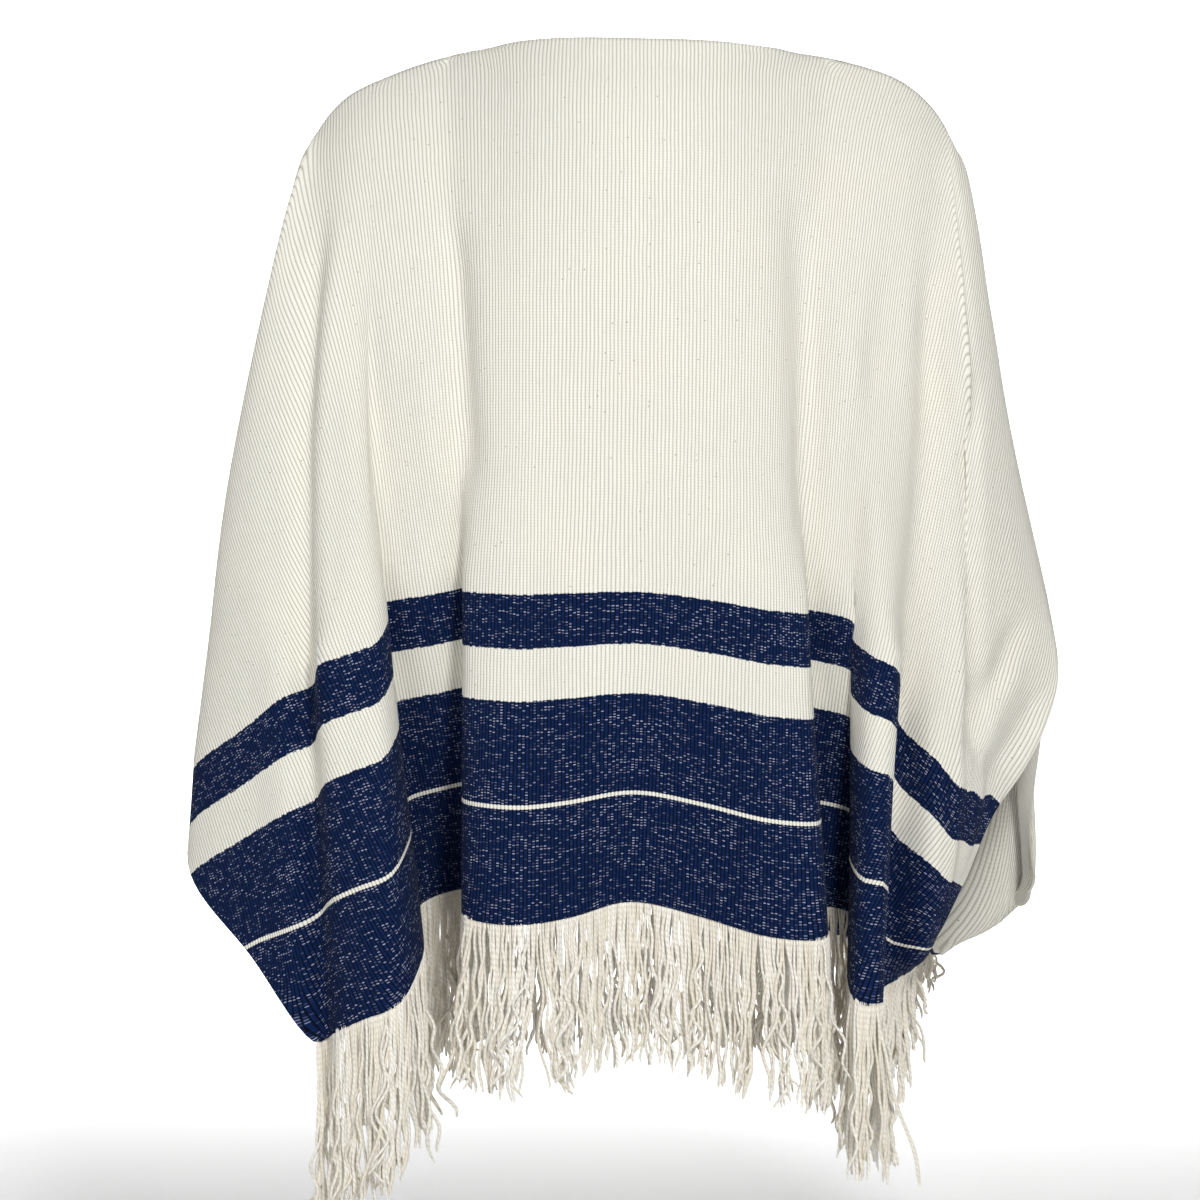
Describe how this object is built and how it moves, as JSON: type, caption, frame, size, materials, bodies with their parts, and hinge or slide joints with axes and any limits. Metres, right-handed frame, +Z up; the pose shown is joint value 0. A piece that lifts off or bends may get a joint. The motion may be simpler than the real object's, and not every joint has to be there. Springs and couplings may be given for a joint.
{
  "type": "poncho",
  "caption": "Worn handwoven poncho: one wide ribbed cloth with a boat neck, woven bands near each end and a long twisted fringe, hanging hollow as over a wearer.",
  "frame": {"origin": "middle of the neck opening at the height of the shoulders, where the wearer's shoulders hold the cloth up", "axes": "+Z up, the wearer's front looks along -Y and the back along +Y, +X is the wearer's left"},
  "size_m": [0.6719, 0.4284, 0.8789],
  "materials": {
    "cloth": "matt warp-ribbed wool and cotton weave, cream with indigo bands",
    "fringe": "plied ivory yarn"
  },
  "bodies": {
    "root": {"back_panel": "cloth", "front_panel": "cloth", "back_fringe": "fringe", "front_fringe": "fringe"}
  },
  "joints": []
}
